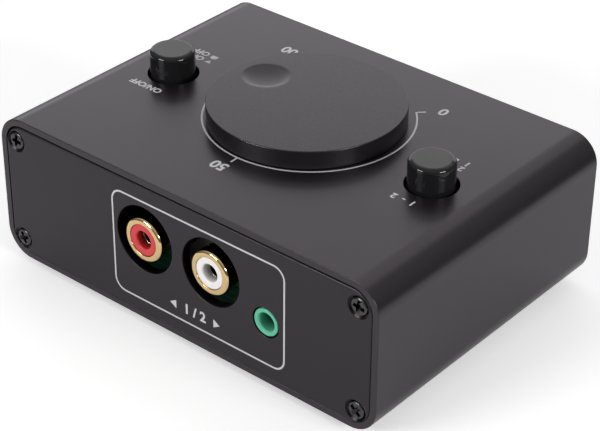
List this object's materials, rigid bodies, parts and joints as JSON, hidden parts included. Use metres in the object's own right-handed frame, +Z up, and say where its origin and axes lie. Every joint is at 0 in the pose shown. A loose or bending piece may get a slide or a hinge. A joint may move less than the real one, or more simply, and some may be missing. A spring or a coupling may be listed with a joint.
{
  "type": "audio source selector",
  "caption": "Desk-top audio source selector: aluminium sleeve with phono and 3.5 mm sockets on both end panels, flat volume knob and push buttons on top.",
  "frame": {"origin": "middle of the box's footprint, on the surface that the rubber feet stand on", "axes": "+X along the output panel, to the right seen from that panel; -Y out of the output panel; +Z up"},
  "size_m": [0.09, 0.0656, 0.0369],
  "materials": {
    "sleeve_aluminium": "charcoal anodised, fine satin",
    "panel_aluminium": "charcoal anodised, fine satin, white printed frame",
    "knob_aluminium": "charcoal anodised, turned",
    "screw_black": "blackened, semi-gloss",
    "circuit_board": "green solder mask, satin",
    "black_moulding": "moulded, matt",
    "green_moulding": "light green, semi-gloss",
    "tinned_terminal": "tinned",
    "gold_plating": "gold plated, polished",
    "red_insulator": "semi-gloss",
    "white_insulator": "semi-gloss",
    "plated_steel": "plated",
    "shaft_brass": "nickel-plated brass, satin",
    "natural_nylon": "natural",
    "cap_gloss_black": "polished",
    "spring_steel": "drawn wire",
    "foot_rubber": "matt"
  },
  "bodies": {
    "housing": {"housing_sleeve": "sleeve_aluminium", "output_panel": "panel_aluminium", "source_panel": "panel_aluminium", "output_panel_screw_1": "screw_black", "output_panel_screw_2": "screw_black", "output_panel_screw_3": "screw_black", "output_panel_screw_4": "screw_black", "source_panel_screw_1": "screw_black", "source_panel_screw_2": "screw_black", "source_panel_screw_3": "screw_black", "source_panel_screw_4": "screw_black", "main_board": "circuit_board", "output_phono_body": "black_moulding", "output_jack_body": "green_moulding", "output_jack_terminal": "tinned_terminal", "output_phono_left_shell": "gold_plating", "output_phono_left_contact": "gold_plating", "output_phono_right_shell": "gold_plating", "output_phono_right_contact": "gold_plating", "output_phono_left_insulator": "red_insulator", "output_phono_right_insulator": "white_insulator", "source_a_phono_body": "black_moulding", "source_a_jack_body": "green_moulding", "source_a_jack_terminal": "tinned_terminal", "source_a_phono_left_shell": "gold_plating", "source_a_phono_left_contact": "gold_plating", "source_a_phono_right_shell": "gold_plating", "source_a_phono_right_contact": "gold_plating", "source_a_phono_left_insulator": "red_insulator", "source_a_phono_right_insulator": "white_insulator", "source_b_phono_body": "black_moulding", "source_b_jack_body": "green_moulding", "source_b_jack_terminal": "tinned_terminal", "source_b_phono_left_shell": "gold_plating", "source_b_phono_left_contact": "gold_plating", "source_b_phono_right_shell": "gold_plating", "source_b_phono_right_contact": "gold_plating", "source_b_phono_left_insulator": "red_insulator", "source_b_phono_right_insulator": "white_insulator", "pot_case": "black_moulding", "mute_switch_case": "black_moulding", "select_switch_case": "black_moulding", "pot_cover": "plated_steel", "mute_spring": "spring_steel", "select_spring": "spring_steel", "rubber_foot_1": "foot_rubber", "rubber_foot_2": "foot_rubber", "rubber_foot_3": "foot_rubber", "rubber_foot_4": "foot_rubber"},
    "knob": {"volume_knob": "knob_aluminium", "pot_shaft": "shaft_brass", "pot_wiper": "natural_nylon"},
    "mute_button": {"mute_button_cap": "cap_gloss_black", "mute_plunger": "natural_nylon"},
    "select_button": {"select_button_cap": "cap_gloss_black", "select_plunger": "natural_nylon"}
  },
  "joints": [
    {"name": "volume_turn", "type": "hinge", "parent": "housing", "child": "knob", "pos_m": [-0.00041, 0.00344, 0.03175], "axis": [0, 0, 1], "range_deg": [-36, 234]},
    {"name": "mute_press", "type": "slide", "parent": "housing", "child": "mute_button", "axis": [0, 0, -1], "range_m": [0, 0.0025], "stiffness_N_per_m": 800, "springref_m": -0.001, "deforming": ["mute_spring"]},
    {"name": "select_press", "type": "slide", "parent": "housing", "child": "select_button", "axis": [0, 0, -1], "range_m": [0, 0.0025], "stiffness_N_per_m": 800, "springref_m": -0.001, "deforming": ["select_spring"]}
  ]
}
